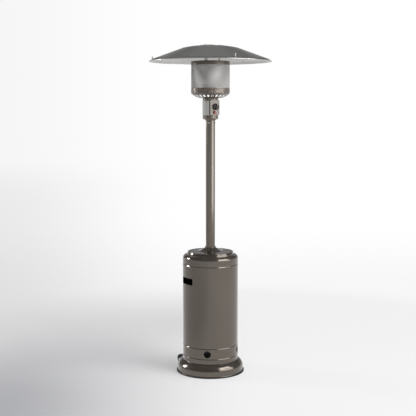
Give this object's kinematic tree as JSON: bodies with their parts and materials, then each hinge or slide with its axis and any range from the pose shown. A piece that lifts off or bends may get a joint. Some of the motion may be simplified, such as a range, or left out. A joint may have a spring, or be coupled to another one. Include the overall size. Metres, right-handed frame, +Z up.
{
  "type": "propane patio heater",
  "caption": "Free-standing gas patio heater: weighted round base with rear wheels, lifting bottle housing, slim pole, burner head with emitter screen and panelled dish reflector",
  "frame": {"origin": "middle of the base's underside, on the ground", "axes": "+Z up the pole, control panel facing -Y, transport wheels at +Y"},
  "size_m": [0.838, 0.838, 2.259],
  "materials": {
    "bronze": "smooth gloss mocha bronze powder coat",
    "hammered_bronze": "hammertone bronze powder coat",
    "dark_bronze": "satin dark bronze",
    "edge_rubber": "black, matte",
    "hose_rubber": "black, satin",
    "weight_iron": "dark, rough",
    "black_steel": "black powder coat",
    "zinc": "zinc plated",
    "black_plastic": "black, moulded",
    "green_plastic": "green, moulded",
    "red_plastic": "red, glossy",
    "lead_silicone": "dark red sleeve",
    "bottle_paint": "off-white gloss paint",
    "brass": "machined",
    "regulator_alloy": "grey die casting",
    "strap_webbing": "woven nylon",
    "panel_bronze": "light champagne metallic",
    "plate_silver": "satin, blank",
    "burner_steel": "stainless, dull",
    "copper": "drawn tube",
    "ceramic": "white glaze",
    "screen_steel": "perforated stainless",
    "dish_aluminium": "mill finish"
  },
  "bodies": {
    "root": {"base_skirt": "bronze", "base_edge_trim": "edge_rubber", "base_weight": "weight_iron", "leg_rear": "black_steel", "leg_left": "black_steel", "leg_right": "black_steel", "leg_foot_bolts": "zinc", "leg_pole_bolts": "zinc", "pole": "bronze", "wheel_bracket": "black_steel", "wheel_bracket_bolts": "zinc", "wheel_axle": "zinc", "axle_caps": "zinc", "gas_bottle": "bottle_paint", "bottle_collar": "bottle_paint", "bottle_valve": "brass", "gas_regulator": "regulator_alloy", "gas_hose": "hose_rubber", "bottle_strap": "strap_webbing", "strap_buckle": "zinc", "neck_tube": "hammered_bronze", "neck_socket": "hammered_bronze", "pole_screws": "zinc", "control_panel": "panel_bronze", "panel_screws": "zinc", "side_plate": "plate_silver", "gas_valve": "brass", "igniter_body": "black_plastic", "tilt_switch": "black_plastic", "gas_pipe": "copper", "burner_head": "burner_steel", "burner_plate": "burner_steel", "pilot_burner": "burner_steel", "thermocouple": "copper", "ignition_electrode": "ceramic", "ignition_lead": "lead_silicone", "burner_bowl": "hammered_bronze", "burner_band": "hammered_bronze", "head_screws": "zinc", "emitter_screen": "screen_steel", "top_cap": "dark_bronze", "standoffs": "zinc", "reflector_panel_left": "dish_aluminium", "reflector_panel_right": "dish_aluminium", "reflector_panel_rear": "dish_aluminium", "crown_plate": "dish_aluminium", "crown_screws": "zinc", "seam_bolts": "zinc"},
    "bushing": {"lid_bushing": "black_plastic"},
    "housing": {"housing_shell": "bronze", "housing_lid": "bronze"},
    "left_wheel": {"wheel_left": "black_plastic"},
    "right_wheel": {"wheel_right": "black_plastic"},
    "push_collar": {"spindle_collar": "brass"},
    "knob": {"control_knob": "black_plastic", "valve_spindle": "zinc"},
    "igniter": {"igniter_button": "red_plastic"},
    "handwheel": {"bottle_handwheel": "black_plastic"},
    "coupling": {"coupling_nut": "green_plastic"}
  },
  "joints": [
    {"name": "housing_lift", "type": "slide", "parent": "root", "child": "bushing", "axis": [0, 0, 1], "range_m": [0, 0.6]},
    {"name": "housing_turn", "type": "hinge", "parent": "bushing", "child": "housing", "pos_m": [0, 0, 0.87], "axis": [0, 0, 1], "continuous": true},
    {"name": "wheel_left_spin", "type": "hinge", "parent": "root", "child": "left_wheel", "pos_m": [-0.08, 0.25204, 0.036], "axis": [1, 0, 0], "continuous": true},
    {"name": "wheel_right_spin", "type": "hinge", "parent": "root", "child": "right_wheel", "pos_m": [0.08, 0.25204, 0.036], "axis": [1, 0, 0], "continuous": true},
    {"name": "knob_push", "type": "slide", "parent": "root", "child": "push_collar", "axis": [0, 1, 0], "range_m": [0, 0.004], "stiffness_N_per_m": 400},
    {"name": "knob_turn", "type": "hinge", "parent": "push_collar", "child": "knob", "pos_m": [0, -0.0625, 1.839], "axis": [0, -1, 0], "range_deg": [0, 180]},
    {"name": "igniter_press", "type": "slide", "parent": "root", "child": "igniter", "axis": [0, 1, 0], "range_m": [0, 0.0045], "stiffness_N_per_m": 900},
    {"name": "handwheel_turn", "type": "hinge", "parent": "root", "child": "handwheel", "pos_m": [0, 0, 0.49], "axis": [0, 0, 1], "range_deg": [0, 540]},
    {"name": "coupling_turn", "type": "hinge", "parent": "root", "child": "coupling", "pos_m": [0, -0.044, 0.45], "axis": [0, -1, 0], "continuous": true}
  ]
}
